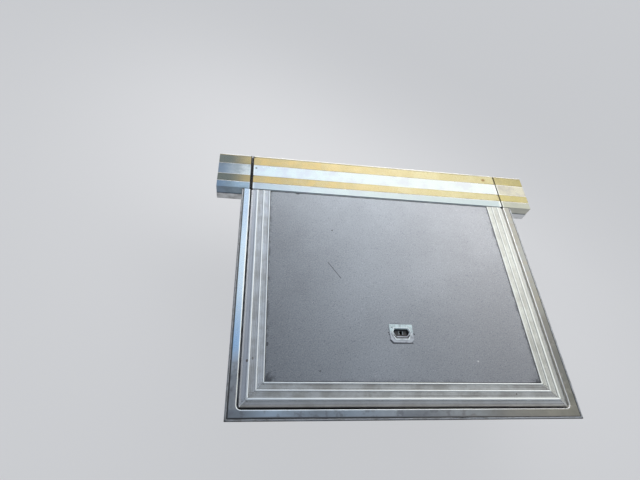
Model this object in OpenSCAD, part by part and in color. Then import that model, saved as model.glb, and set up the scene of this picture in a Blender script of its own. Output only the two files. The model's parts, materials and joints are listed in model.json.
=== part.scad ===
// Fold-out wheelchair ramp for a bus doorway, lying flush in its floor recess.
// X runs along the door sill, Y points out of the door, Z is up.
// The origin is the centre of the middle channel's bolts, on the underside of its feet.

/* [Plate] */
// Width of the moving plate, side to side
plate_w = 900; // [760:5:1000]
// Length of the plate from its inner end to the sill
plate_l = 690; // [560:5:860]
// Thickness of the plate
plate_t = 28; // [26:1:36]
// Radius of the plate's two inner corners
corner_r = 8; // [4:1:14]
// Gap between the plate and the rim at each side
rim_gap = 4; // [3:0.5:6]
// Gap between the plate's inner end and the rim
end_gap = 5; // [3:0.5:8]
// Gap between the plate's underside and the recess floor
rest_gap = 5; // [4:0.5:8]
// Thickness of the floor covering let into the plate
vinyl_t = 2.5; // [2:0.5:4]
// Depth of the floor covering below the rib tops
vinyl_drop = 1; // [0.5:0.25:2]
// Distance of the floor covering from the joint at the sill
vinyl_back = 1.5; // [0:0.5:4]
// Radius of the floor covering's two corners there
vinyl_corner_r = 4; // [1:0.5:10]
// Thickness of the grit-coated sheet on the plate's underside
under_t = 2.5; // [1.5:0.5:4]

/* [Edge profile] */
// Width of the ribbed edge profile
edge_w = 62.5; // [62.5:0.5:80]
// Height of the ribs above the flat bands between them
rib_h = 1.6; // [1:0.2:2.4]
// Drop of the outer band towards the plate's edge
nose_drop = 2.4; // [1:0.2:4]
// Radius of the plate's upper outer edge
nose_r = 3; // [1.5:0.5:4]
// Wall of the hollow profiles
wall = 2.5; // [2:0.25:4]
// Width of the coloured band on the underside of each edge
band_w = 50; // [40:1:55]
// Thickness of that band
band_t = 0.8; // [0.5:0.1:1.5]

/* [Sill] */
// Width of the plain nosing at the sill's outer edge
nosing_w = 7; // [5:0.5:12]
// Width of the outer grit strip
strip_out_w = 35.5; // [25:0.5:45]
// Width of the bare metal between the grit strips
bare_mid_w = 47.5; // [35:0.5:60]
// Width of the inner grit strip
strip_in_w = 30.5; // [20:0.5:40]
// Width of the bare metal at the sill's inner edge
bare_in_w = 26.5; // [20:0.5:40]
// Depth of the grooves that hold the grit strips
groove_d = 1.6; // [1:0.2:2.5]
// Thickness of the grit strips
strip_t = 2; // [1.5:0.1:3]
// Width of the small lips that hold the grit strips' edges
lip_w = 1.3; // [0.8:0.1:2]
// Height of those lips above the sill
lip_h = 0.4; // [0.2:0.1:1]
// Length of each fixed piece of sill beside the plate
sill_end_l = 110; // [80:5:200]
// Width of the dark joint between the plate's deck and its sill
seam_w = 2; // [1:0.5:4]
// Depth of that joint
seam_d = 3; // [2:0.5:6]
// Radius of the moving sill's two inner corners
sill_corner_r = 5; // [2:0.5:8]

/* [Hinge] */
// Number of knuckles along the hinge, an odd number
knuckles = 15; // [7:2:19]
// Radius of the hinge barrel
barrel_r = 9; // [8:0.5:12]
// Radius of the hinge pin
pin_r = 5; // [4:0.5:6]
// Running clearance round the pin
pin_clear = 0.05; // [0.02:0.01:0.1]
// Wall of the plain bearing bushes
bush_t = 1.25; // [1:0.25:2]
// Thickness of the flange on each bush
bush_flange_t = 2; // [1:0.25:3]
// Side play between a bush flange and the next knuckle
knuckle_play = 0.5; // [0.3:0.1:1]
// Length of each bush inside its knuckle
bush_l = 14; // [8:1:20]
// Distance of the hinge axis outside the sill's edge
axis_out = 10; // [10:0.5:14]
// Gap left by the cutter round the fixed barrels
relief_gap = 3; // [2:0.5:4]
// Distance of the fixed beam's front face behind the sill's edge
beam_setback = 2; // [1:0.5:4]

/* [Tray] */
// Thickness of the tray's sheet
pan_t = 2.5; // [2:0.5:4]
// Thickness of the tread sheet on the tray's floor
tread_t = 3; // [2:0.5:5]
// Width of the rim's visible flange
flange_w = 22; // [16:1:35]
// Thickness of the rim's flange and leg
flange_t = 2.5; // [2:0.5:4]
// Depth of the rim's leg inside the recess
leg_h = 30; // [15:1:32]
// Width of the bevel along the rim's inner edge
bevel_w = 4; // [1:0.25:5]
// Depth of that bevel
bevel_d = 1.5; // [0.5:0.25:2]
// Width of the sealing bead outside the rim
bead_w = 5; // [3:0.5:8]
// Depth of that bead's top below the rim
bead_low = 0.5; // [0:0.25:1.5]
// Thickness of the gasket under the rim
gasket_t = 2; // [1:0.5:4]
// Width of the rubber rest strips
rest_w = 30; // [20:1:40]
// Distance of the rest strips from the plate's edge
rest_in = 16; // [10:1:30]
// Space left between a rest strip and the plate
rest_clear = 0.3; // [0.2:0.1:0.5]
// Outer radius of the drain spouts
spout_r = 9; // [7:0.5:14]
// Wall of the drain spouts
spout_t = 2; // [1:0.5:3]
// Length of the drain spouts below the tray
spout_l = 40; // [25:1:60]
// Distance of each drain from the side of the recess
drain_in = 70; // [66:1:120]
// Distance of each drain from the beam
drain_back = 30; // [20:1:60]

/* [Channels] */
// Height of the channels under the tray
channel_h = 22; // [16:1:40]
// Thickness of the channel sheet
channel_t = 2.5; // [2:0.5:4]
// Width of a channel's top
channel_top_w = 40; // [30:1:60]
// Lean of a channel's side, from top to foot
channel_lean = 4; // [2:0.5:8]
// Width of a channel's foot
foot_w = 24; // [18:1:40]
// Distance of the end channels' middle lines from the sill joint
channel_end = 110; // [100:5:150]
// Radius of the bolt holes in the feet
foot_hole_r = 4.5; // [3.5:0.5:6.5]
// Distance of the bolt holes from a channel's end
foot_hole_in = 30; // [15:1:60]

/* [Fixed beam] */
// Pitch of the beam's bolts
beam_bolt_pitch = 260; // [200:5:280]
// Radius of the beam's bolt holes
beam_hole_r = 4.5; // [3.5:0.5:6.5]
// Radius of the sinking for each bolt's head
head_r = 9; // [7:0.5:11]
// Depth of that sinking
head_d = 9; // [6:0.5:14]
// Width of the solid web that takes the bolts
bolt_web_w = 24; // [20:1:40]
// Wall of the fixed beam
beam_wall = 3.5; // [3:0.5:5]
// Depth of the grip grooves along the beam's top
grip_d = 1; // [0.5:0.25:1.5]
// Pitch of those grooves
grip_pitch = 9; // [6:0.5:14]

/* [Pull cup] */
// Distance of the cup from the plate's middle line
cup_x = -4; // [-100:1:100]
// Distance of the cup from the sill
cup_back = 491; // [200:1:500]
// Width of the cup's face plate
cup_w = 69; // [66:1:90]
// Length of the cup's face plate
cup_l = 54; // [50:1:80]
// Cut corners at the inner end of the face plate
cup_cut = 9; // [4:1:12]
// Thickness of the face plate
face_t = 1.6; // [1:0.2:2.5]
// Height of the raised rim on the face plate
rim_up = 1; // [0.6:0.2:2.5]
// Width of that rim
rim_w = 2.8; // [2:0.2:4]
// Depth of the ledge inside the rim, below the face plate
ledge_d = 1; // [0.5:0.25:1.5]
// Depth of the bevel from the ledge into the well
lead_in_d = 5; // [3:0.5:6]
// Width of that bevel
lead_in_w = 4; // [2:0.5:6]
// Depth of the cup's body below the floor covering
cup_d = 11; // [10:1:14]
// Depth of the cheeks' crests below the face plate
crest_d = 7; // [6:0.5:8]
// Distance of each crest from the side of the key hole
crest_in = 2.5; // [1:0.5:4]
// Fall of each cheek from its crest to the well's side
cheek_fall = 2.5; // [1:0.5:3]
// Width of the key hole between the cheeks
key_w = 7.5; // [6:0.5:10]
// Length of the key hole
key_l = 11; // [8:0.5:13]
// Radius of the room bored under the key hole for the hook's toe
hook_room_r = 12; // [8:1:14]
// Depth of that room
hook_room_d = 9; // [5:0.5:10]
// Clearance round the cup in the core and covering
cup_clear = 0.3; // [0.1:0.1:0.6]

/* [Hidden] */
$fn = 64;
cut = 1;
sill_w = nosing_w + strip_out_w + bare_mid_w + strip_in_w + bare_in_w;
recess_z = channel_h + pan_t + tread_t;
plate_z = recess_z + rest_gap;
deck_z = plate_z + plate_t;
axis_z = (recess_z + plate_z) / 2;
recess_w = plate_w + 2 * rim_gap;
tray_l = plate_l + end_gap + flange_t + pan_t;
sill_y = round(tray_l / 2);
sill_out = sill_y + sill_w;
channel_pitch = sill_y - channel_end;
inner_y = sill_y - plate_l;
seam_y = sill_y - seam_w;
axis_y = sill_out + axis_out;
knuckle_pitch = plate_w / knuckles;
knuckle_gap = bush_flange_t + knuckle_play;
beam_out = sill_out - beam_setback;
beam_l = recess_w + 2 * sill_end_l;
channel_half_l = recess_w / 2 + flange_t;
foot_mid = channel_top_w / 2 + channel_lean + foot_w / 2;
cup_y = sill_y - cup_back;
covering_z = deck_z - vinyl_drop;
core_top = covering_z - vinyl_t;
// Ribs of the edge profile: centre from the plate's edge, width
RIBS = [[20, 6.8], [41, 5.2], [60, 4.6]];
rib_flank = 0.7;
// Sinkings of the sill's grit strips: start from the sill's inner edge, width
GROOVES = [[bare_in_w, strip_in_w], [bare_in_w + strip_in_w + bare_mid_w, strip_out_w]];

// Extrudes a section drawn in Y and Z along X, from x0 for a length
module along_x(x0, length) {
    translate([x0, 0, 0]) rotate([90, 0, 90]) linear_extrude(length) children();
}

// Extrudes a section drawn in X and Z along Y, from y0 to y1
module along_y(y0, y1) {
    translate([0, y1, 0]) rotate([90, 0, 0]) linear_extrude(y1 - y0) children();
}

// Plan of a panel that is square at the sill and rounded at its inner end
module rounded_plan(half_w, y0, y1, r) {
    translate([-half_w, y0 + r]) square([2 * half_w, y1 - y0 - r]);
    translate([-half_w + r, y0]) square([2 * (half_w - r), r + cut]);
    for (side = [-1, 1]) translate([side * (half_w - r), y0 + r]) circle(r);
}

// Upper outline of the ribbed edge profile, from its outer edge inwards
function rib_outline() = [
    for (rib = RIBS, step = [[-1, 0, 0], [-1, 1, 1], [1, -1, 1], [1, 0, 0]])
        [rib[0] + step[0] * rib[1] / 2 + step[1] * rib_flank, plate_t - rib_h * (1 - step[2])]
];

// Rounded upper outer edge, its sloping band beginning where the arc ends
function nose_arc() = [
    for (a = [0 : 15 : 90])
        [nose_r * (1 - cos(a)), plate_t - rib_h - nose_drop - nose_r + nose_r * sin(a)]
];

// Section of the ribbed edge profile
module edge_section() {
    difference() {
        polygon(concat(
            [[0, band_t]], nose_arc(), rib_outline(), [[edge_w, plate_t - rib_h], [edge_w, band_t]]
        ));
        for (bay = [[wall, edge_w / 2 - wall / 2], [edge_w / 2 + wall / 2, edge_w - wall]])
            translate([bay[0], band_t + wall])
                square([bay[1] - bay[0], plate_t - band_t - rib_h - nose_drop - 2 * wall]);
    }
}

// One mitred edge profile along the plate's left side
module edge_side() {
    translate([0, 0, plate_z]) intersection() {
        along_y(inner_y, seam_y) translate([-plate_w / 2, 0]) edge_section();
        linear_extrude(plate_t) polygon([
            [-plate_w / 2, inner_y], [-plate_w / 2, seam_y],
            [-plate_w / 2 + edge_w, seam_y], [-plate_w / 2 + edge_w, inner_y + edge_w]
        ]);
        linear_extrude(plate_t) rounded_plan(plate_w / 2, inner_y, seam_y, corner_r);
    }
}

module edge_left() {
    color("silver") edge_side();
}

module edge_right() {
    color("silver") mirror([1, 0, 0]) edge_side();
}

module edge_inner() {
    color("silver") translate([0, 0, plate_z]) intersection() {
        along_x(-plate_w / 2, plate_w) translate([inner_y, 0]) edge_section();
        linear_extrude(plate_t) polygon([
            [-plate_w / 2, inner_y], [-plate_w / 2 + edge_w, inner_y + edge_w],
            [plate_w / 2 - edge_w, inner_y + edge_w], [plate_w / 2, inner_y]
        ]);
        linear_extrude(plate_t) rounded_plan(plate_w / 2, inner_y, seam_y, corner_r);
    }
}

// Field inside the edge profiles, between two heights
module field(z0, z1) {
    translate([-plate_w / 2 + edge_w, inner_y + edge_w, z0])
        cube([plate_w - 2 * edge_w, plate_l - seam_w - edge_w, z1 - z0]);
}

// Six-sided outline symmetrical about X: half width and Y at its head, waist and foot
module six_sided(head, waist, foot, grow) {
    polygon([
        [-head[0] - grow, head[1] + grow], [head[0] + grow, head[1] + grow],
        [waist[0] + grow, waist[1]], [foot[0] + grow, foot[1] - grow],
        [-foot[0] - grow, foot[1] - grow], [-waist[0] - grow, waist[1]]
    ]);
}

// Half width and Y, from the cup's middle, of the ledge's and the well's head, waist and foot
ledge_head = [20.5, 15];
ledge_waist = [27.5, 0];
ledge_foot = [17, -16.5];
well_head = [19, 13];
well_waist = [23.5, 4.5];
well_foot = [19, -5];
key_y = (well_head[1] + well_foot[1]) / 2;

module cup_pocket() {
    translate([cup_x, cup_y, covering_z - cup_d - cup_clear]) linear_extrude(cup_d + cup_clear + cut)
        six_sided(ledge_head, ledge_waist, ledge_foot, rim_w + cup_clear);
}

module plate_core() {
    color("burlywood") difference() {
        field(plate_z + under_t, core_top);
        cup_pocket();
        translate([cup_x, cup_y + key_y, covering_z - cup_d - cup_clear - hook_room_d])
            cylinder(h = hook_room_d + cut, r = hook_room_r);
    }
}

module floor_covering() {
    color("slategray") difference() {
        translate([0, 0, core_top]) linear_extrude(vinyl_t) mirror([0, 1])
            rounded_plan(plate_w / 2 - edge_w, vinyl_back - seam_y, -inner_y - edge_w, vinyl_corner_r);
        cup_pocket();
    }
}

module underside_tread() {
    color("dimgray") field(plate_z, plate_z + under_t);
}

module underside_bands() {
    side_in = (edge_w - band_w) / 2;
    color("gold") {
        for (side = [-1, 1])
            translate([side * (plate_w / 2 - side_in - band_w / 2) - band_w / 2, inner_y + edge_w, plate_z])
                cube([band_w, plate_l - seam_w - edge_w, band_t]);
        translate([-plate_w / 2 + side_in, inner_y + side_in, plate_z])
            cube([plate_w - 2 * side_in, band_w, band_t]);
    }
}

// Sill's top outline over its grooves and the lips beside them: end of the groove, Y from it, height
function groove_outline() = [
    for (groove = GROOVES, step = [
        [0, -lip_w, 0], [0, -lip_w, lip_h], [0, 0, lip_h], [0, 0, -groove_d],
        [1, 0, -groove_d], [1, 0, lip_h], [1, lip_w, lip_h], [1, lip_w, 0]
    ])
        [groove[0] + step[0] * groove[1] + step[1], step[2]]
];

// Section of the sill in Y and Z between two heights, running on under the seam by a distance
module sill_section(z_bottom, z_top, under_seam) {
    bays = [
        [wall, bare_in_w - wall / 2],
        [bare_in_w + wall / 2, bare_in_w + strip_in_w - wall / 2],
        [bare_in_w + strip_in_w + wall / 2, bare_in_w + strip_in_w + bare_mid_w - wall / 2],
        [bare_in_w + strip_in_w + bare_mid_w + wall / 2, sill_w - 2 * wall]
    ];
    h = z_top - z_bottom;
    translate([sill_y, z_top]) difference() {
        polygon(concat(
            [[sill_w, -h], [-under_seam, -h], [-under_seam, -seam_d], [0, -seam_d], [0, 0]],
            groove_outline(),
            [for (a = [90 : -15 : 0]) [sill_w - nose_r * (1 - cos(a)), -nose_r * (1 - sin(a))]]
        ));
        for (bay = bays)
            translate([bay[0], wall - h]) square([bay[1] - bay[0], h - groove_d - 2 * wall]);
    }
}

// Grit strips in the sill's grooves, from x0 for a length
module grit_strips(x0, length) {
    for (groove = GROOVES)
        translate([x0, sill_y + groove[0], deck_z - groove_d]) cube([length, groove[1], strip_t]);
}

// Left end of a knuckle in the row
function knuckle_x(i) = -plate_w / 2 + i * knuckle_pitch;

// One knuckle with its arm towards the profile: up = 1 for the plate's, -1 for the beam's
module knuckle(i, up, reach) {
    low = (plate_z - recess_z) / 2;
    past = barrel_r / 4;
    along_x(knuckle_x(i) + knuckle_gap / 2, knuckle_pitch - knuckle_gap) translate([axis_y, axis_z])
        polygon([
            [-reach, up * low], [-reach, up * (barrel_r + 6)],
            [past, up * sqrt(barrel_r * barrel_r - past * past)], [0, 0]
        ]);
    translate([knuckle_x(i) + knuckle_gap / 2, axis_y, axis_z]) rotate([0, 90, 0])
        cylinder(h = knuckle_pitch - knuckle_gap, r = barrel_r);
}

// A rod on the hinge axis
module on_axis(x0, length, r) {
    translate([x0, axis_y, axis_z]) rotate([0, 90, 0]) cylinder(h = length, r = r);
}

// What rounds off an inner corner of the moving sill: side = 0 left, 1 right
module corner_cut(side) {
    mirror([side, 0, 0]) translate([-plate_w / 2, sill_y, plate_z - cut]) linear_extrude(plate_t + 2 * cut)
        difference() {
            translate([-cut, -seam_w - cut]) square([sill_corner_r + cut, sill_corner_r + seam_w + cut]);
            translate([sill_corner_r, sill_corner_r]) circle(sill_corner_r);
        }
}

module ramp_sill() {
    color("lightgray") difference() {
        union() {
            along_x(-plate_w / 2, plate_w) sill_section(plate_z, deck_z, seam_w);
            for (i = [1 : 2 : knuckles - 1]) knuckle(i, 1, axis_out + wall / 2);
        }
        for (i = [0 : 2 : knuckles - 1])
            on_axis(knuckle_x(i), knuckle_pitch, barrel_r + relief_gap);
        for (i = [1 : 2 : knuckles - 1])
            on_axis(knuckle_x(i) - cut, knuckle_pitch + 2 * cut, pin_r + pin_clear + bush_t);
        for (side = [0, 1]) corner_cut(side);
    }
}

module ramp_sill_grit() {
    color("goldenrod") grit_strips(-plate_w / 2, plate_w);
}

module hinge_bushes() {
    bore = pin_r + pin_clear;
    color("ivory") for (i = [1 : 2 : knuckles - 1], end = [0, 1])
        translate([knuckle_x(i) + knuckle_pitch / 2, axis_y, axis_z]) mirror([end, 0, 0]) rotate([0, 90, 0])
            translate([0, 0, knuckle_pitch / 2 - knuckle_gap / 2 - bush_l]) difference() {
                union() {
                    cylinder(h = bush_l, r = bore + bush_t);
                    translate([0, 0, bush_l]) cylinder(h = bush_flange_t, r = barrel_r - 1);
                }
                translate([0, 0, -cut]) cylinder(h = bush_l + bush_flange_t + 2 * cut, r = bore);
            }
}

module hinge_pin() {
    color("gainsboro") difference() {
        on_axis(-plate_w / 2 - rim_gap, recess_w, pin_r);
        for (side = [-1, 1]) clip_ring(side, pin_r + cut, pin_r - clip_sink);
    }
}

clip_t = 1.2;
clip_sink = 0.6;

// A ring just outside the last knuckle: side = -1 left, 1 right
module clip_ring(side, r_out, r_in) {
    translate([side * (plate_w / 2 + clip_t), axis_y, axis_z]) rotate([0, 90, 0]) difference() {
        cylinder(h = clip_t, r = r_out, center = true);
        cylinder(h = clip_t + cut, r = r_in, center = true);
    }
}

module pin_clips() {
    color("dimgray") for (side = [-1, 1]) difference() {
        clip_ring(side, pin_r + 3, pin_r - clip_sink);
        translate([side * (plate_w / 2 + clip_t), axis_y, axis_z - pin_r - 3])
            cube([clip_t + cut, pin_r, 2 * pin_r + 3], center = true);
    }
}

// Section of the fixed beam, with its grip grooves and hollow bays
module beam_section() {
    beam_w = beam_out - seam_y;
    web0 = (beam_w - bolt_web_w) / 2;
    bays = [[beam_wall, web0], [beam_w - web0, beam_w - beam_wall]];
    difference() {
        translate([seam_y, 0]) square([beam_w, recess_z]);
        for (bay = bays)
            translate([seam_y + bay[0], beam_wall])
                square([bay[1] - bay[0], recess_z - 2 * beam_wall - grip_d]);
        for (y = [grip_pitch : grip_pitch : beam_w - grip_pitch])
            translate([seam_y + y, recess_z - grip_d]) square([grip_pitch / 4, grip_d + cut]);
    }
}

module hinge_beam() {
    color("darkgray") difference() {
        union() {
            along_x(-beam_l / 2, beam_l) beam_section();
            for (i = [0 : 2 : knuckles - 1]) knuckle(i, -1, axis_out + beam_setback + beam_wall / 2);
        }
        on_axis(-plate_w / 2 - cut, plate_w + 2 * cut, pin_r + pin_clear);
        for (k = [-1.5 : 1 : 1.5]) translate([k * beam_bolt_pitch, (seam_y + beam_out) / 2, 0]) {
            translate([0, 0, -cut]) cylinder(h = recess_z + 2 * cut, r = beam_hole_r);
            translate([0, 0, recess_z - head_d]) cylinder(h = head_d + cut, r = head_r);
        }
    }
}

module sill_end() {
    along_x(-recess_w / 2 - sill_end_l, sill_end_l) sill_section(recess_z, deck_z, 0);
}

module sill_end_left() {
    color("lightgray") sill_end();
}

module sill_end_right() {
    color("lightgray") mirror([1, 0, 0]) sill_end();
}

module sill_end_grit() {
    color("goldenrod") for (side = [0, 1])
        mirror([side, 0, 0]) grit_strips(-recess_w / 2 - sill_end_l, sill_end_l);
}

// Plan of the recess, grown outwards by a distance and running past the seam
module recess_plan(grow, past) {
    rounded_plan(recess_w / 2 + grow, inner_y - end_gap - grow, seam_y + past, corner_r + rim_gap + grow);
}

function drain_places() = [for (side = [-1, 1]) [side * (recess_w / 2 - drain_in), seam_y - drain_back]];

module pan() {
    wall_top = deck_z - flange_t;
    color("lightsteelblue") difference() {
        translate([0, 0, channel_h]) linear_extrude(wall_top - channel_h) recess_plan(flange_t + pan_t, 0);
        translate([0, 0, channel_h + pan_t]) linear_extrude(wall_top) recess_plan(flange_t, cut);
        for (place = drain_places())
            translate([place[0], place[1], 0]) cylinder(h = deck_z, r = spout_r - spout_t);
    }
}

module drain_spout(place) {
    color("dimgray") translate([place[0], place[1], channel_h - spout_l]) difference() {
        union() {
            cylinder(h = spout_l, r = spout_r);
            translate([0, 0, spout_l - pan_t]) cylinder(h = pan_t, r = spout_r + 6);
        }
        translate([0, 0, -cut]) cylinder(h = spout_l + 2 * cut, r = spout_r - spout_t);
    }
}

module drain_spout_left() {
    drain_spout(drain_places()[0]);
}

module drain_spout_right() {
    drain_spout(drain_places()[1]);
}

// Rim section: distance outwards from the recess edge, height above the leg's foot
module rim_section() {
    polygon([
        [0, 0], [0, leg_h - bevel_d], [bevel_w, leg_h], [flange_w, leg_h],
        [flange_w, leg_h - flange_t], [flange_t, leg_h - flange_t], [flange_t, 0]
    ]);
}

module rim_flange() {
    r = corner_r + rim_gap;
    recess_in = inner_y - end_gap;
    color("whitesmoke") translate([0, 0, deck_z - leg_h]) {
        along_x(-recess_w / 2 + r, recess_w - 2 * r) translate([recess_in, 0]) mirror([1, 0]) rim_section();
        for (side = [0, 1]) mirror([side, 0, 0]) {
            along_y(recess_in + r, seam_y) translate([recess_w / 2, 0]) rim_section();
            translate([recess_w / 2 - r, recess_in + r, 0]) rotate([0, 0, -90])
                rotate_extrude(angle = 90) translate([r, 0]) rim_section();
            translate([recess_w / 2 - r, recess_in + r, leg_h - flange_t]) linear_extrude(flange_t)
                difference() {
                    translate([0, -r - flange_w]) square(r + flange_w);
                    circle(r + flange_w / 2);
                }
        }
    }
}

// Plan of the rim's flange, grown outwards by a distance and running past the seam
module flange_plan(grow, past) {
    translate([-recess_w / 2 - flange_w - grow, inner_y - end_gap - flange_w - grow])
        square([recess_w + 2 * (flange_w + grow), seam_y + past - inner_y + end_gap + flange_w + grow]);
}

module rim_gasket() {
    color("black") difference() {
        translate([0, 0, deck_z - flange_t - gasket_t]) linear_extrude(flange_t + gasket_t - bead_low)
            flange_plan(bead_w, 0);
        translate([0, 0, deck_z - flange_t]) linear_extrude(flange_t + cut) flange_plan(0, cut);
        translate([0, 0, deck_z - flange_t - gasket_t - cut]) linear_extrude(gasket_t + 2 * cut)
            recess_plan(flange_t + pan_t, cut);
    }
}

module rest_strips() {
    strip_h = tread_t + rest_gap - rest_clear;
    side_x = plate_w / 2 - rest_in - rest_w;
    side_l = plate_l - seam_w - rest_in - rest_w - 2 * cut - drain_back - 2 * spout_r;
    color("black") translate([0, 0, channel_h + pan_t]) {
        for (side = [0, 1]) mirror([side, 0, 0])
            translate([side_x, inner_y + rest_in + rest_w + cut, 0]) cube([rest_w, side_l, strip_h]);
        translate([-plate_w / 2 + rest_in, inner_y + rest_in, 0])
            cube([plate_w - 2 * rest_in, rest_w, strip_h]);
    }
}

module recess_tread() {
    half_w = plate_w / 2 - rest_in - rest_w - cut;
    y0 = inner_y + rest_in + rest_w + cut;
    color("gray") difference() {
        translate([-half_w, y0, channel_h + pan_t]) cube([2 * half_w, seam_y - y0, tread_t]);
        for (place = drain_places())
            translate([place[0], place[1], channel_h]) cylinder(h = deck_z, r = spout_r);
    }
}

// Hat-shaped channel at a distance from the middle one
module channel(y) {
    a = channel_top_w / 2;
    b = a + channel_lean;
    c = b + foot_w;
    t = channel_t;
    color("darkgray") difference() {
        along_x(-channel_half_l, 2 * channel_half_l) translate([y, 0]) polygon([
            [-c, 0], [-c, t], [-b, t], [-a, channel_h], [a, channel_h], [b, t], [c, t], [c, 0],
            [b - t, 0], [a - t, channel_h - t], [t - a, channel_h - t], [t - b, 0]
        ]);
        for (side = [-1, 1], foot = [-1, 1])
            translate([side * (channel_half_l - foot_hole_in), y + foot * foot_mid, -cut])
                cylinder(h = channel_t + 2 * cut, r = foot_hole_r);
    }
}

module channel_inner() {
    channel(-channel_pitch);
}

module channel_middle() {
    channel(0);
}

module channel_outer() {
    channel(channel_pitch);
}

// Section of a cheek's top in X and Z, from the key hole's side over its crest and down to the well's side
function cheek_top() = let(crest_x = key_w / 2 + crest_in, far = well_waist[0] - crest_x) concat(
    [for (a = [0 : 30 : 90]) [crest_x - crest_in * cos(a), -crest_d - crest_in * (1 - sin(a)) / 2]],
    [for (share = [0.25 : 0.25 : 1]) [crest_x + far * share, -crest_d - cheek_fall * share * share]]
);

// The well between the face plate's top, at Z 0, and its two cheeks
module well() {
    right = cheek_top();
    intersection() {
        translate([0, 0, -cup_d]) linear_extrude(cup_d + cut) six_sided(well_head, well_waist, well_foot, 0);
        along_y(well_foot[1] - cut, well_head[1] + cut) polygon(concat(
            [[well_waist[0], cut], [-well_waist[0], cut]],
            [for (i = [len(right) - 1 : -1 : 0]) [-right[i][0], right[i][1]]], right
        ));
    }
}

module pull_cup() {
    color("silver") translate([cup_x, cup_y, covering_z + face_t]) difference() {
        union() {
            translate([0, 0, -face_t]) linear_extrude(face_t) polygon([
                [-cup_w / 2, cup_l / 2], [cup_w / 2, cup_l / 2], [cup_w / 2, -cup_l / 2 + cup_cut],
                [cup_w / 2 - cup_cut, -cup_l / 2], [-cup_w / 2 + cup_cut, -cup_l / 2],
                [-cup_w / 2, -cup_l / 2 + cup_cut]
            ]);
            translate([0, 0, -face_t - cup_d]) linear_extrude(cup_d + face_t + rim_up)
                six_sided(ledge_head, ledge_waist, ledge_foot, rim_w);
        }
        translate([0, 0, -ledge_d]) linear_extrude(ledge_d + rim_up + cut)
            six_sided(ledge_head, ledge_waist, ledge_foot, 0);
        well();
        along_x(-ledge_foot[0], 2 * ledge_foot[0]) polygon([
            [well_foot[1] + cut, 0], [well_foot[1] - lead_in_w, 0], [well_foot[1] - lead_in_w, -ledge_d],
            [well_foot[1], -lead_in_d], [well_foot[1] + cut, -lead_in_d]
        ]);
        translate([-key_w / 2, key_y - key_l / 2, -face_t - cup_d - cut]) cube([key_w, key_l, cup_d]);
    }
}

pan();
channel_inner();
channel_middle();
channel_outer();
drain_spout_left();
drain_spout_right();
rim_flange();
rim_gasket();
recess_tread();
rest_strips();
hinge_beam();
sill_end_left();
sill_end_right();
sill_end_grit();
hinge_pin();
pin_clips();
plate_core();
edge_left();
edge_right();
edge_inner();
floor_covering();
ramp_sill();
ramp_sill_grit();
pull_cup();
underside_tread();
underside_bands();
hinge_bushes();
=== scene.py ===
import json
import math

import bmesh
import bpy
import numpy as np
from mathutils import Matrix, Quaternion, Vector

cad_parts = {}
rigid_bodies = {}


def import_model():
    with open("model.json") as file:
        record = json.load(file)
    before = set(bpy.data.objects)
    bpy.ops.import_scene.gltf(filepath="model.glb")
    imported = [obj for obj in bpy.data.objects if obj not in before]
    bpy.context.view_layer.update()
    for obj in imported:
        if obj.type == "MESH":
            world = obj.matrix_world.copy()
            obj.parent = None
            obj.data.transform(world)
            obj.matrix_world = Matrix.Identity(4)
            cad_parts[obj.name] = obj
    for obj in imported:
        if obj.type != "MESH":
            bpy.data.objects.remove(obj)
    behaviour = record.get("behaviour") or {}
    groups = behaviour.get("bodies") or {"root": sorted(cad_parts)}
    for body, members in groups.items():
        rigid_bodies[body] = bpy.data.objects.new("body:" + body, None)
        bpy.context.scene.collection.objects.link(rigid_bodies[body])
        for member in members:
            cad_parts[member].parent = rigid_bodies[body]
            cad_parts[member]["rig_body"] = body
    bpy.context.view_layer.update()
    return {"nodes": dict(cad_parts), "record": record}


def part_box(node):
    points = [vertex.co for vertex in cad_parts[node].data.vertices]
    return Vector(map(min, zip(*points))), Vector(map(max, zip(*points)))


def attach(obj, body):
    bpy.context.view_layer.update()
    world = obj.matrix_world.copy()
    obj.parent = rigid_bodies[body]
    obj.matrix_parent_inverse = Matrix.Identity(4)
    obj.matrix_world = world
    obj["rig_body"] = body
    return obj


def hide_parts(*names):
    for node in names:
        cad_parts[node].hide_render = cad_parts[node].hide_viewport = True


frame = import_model()
scene = bpy.context.scene
chance = np.random.default_rng(11)

# Camera. It is held 1.1 m over the floor just inside the doorway and looks down and out across
# the sill. It is rolled, so that the sill falls away to the right in the picture.
camera_place = Vector((-0.4385, -0.5735, 1.1740))
camera_target = Vector((-0.2278, 0.1610, 0.0605))
camera_roll = math.radians(16.6)
camera = bpy.data.objects.new("camera", bpy.data.cameras.new("camera"))
camera.data.sensor_width = 36.0
camera.data.lens = 24.14
camera.location = camera_place
camera.rotation_mode = "QUATERNION"
looking = (camera_target - camera_place).to_track_quat("-Z", "Y")
camera.rotation_quaternion = looking @ Quaternion((0, 0, 1), camera_roll)
scene.collection.objects.link(camera)
scene.camera = camera

# Channels under the tray. Each is a hat-shaped length of folded aluminium sheet, drilled in both
# feet for its bolts and riveted to the tray's underside along the middle of its top.
ORIGIN = (0.0, 0.0, 0.0)


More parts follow.
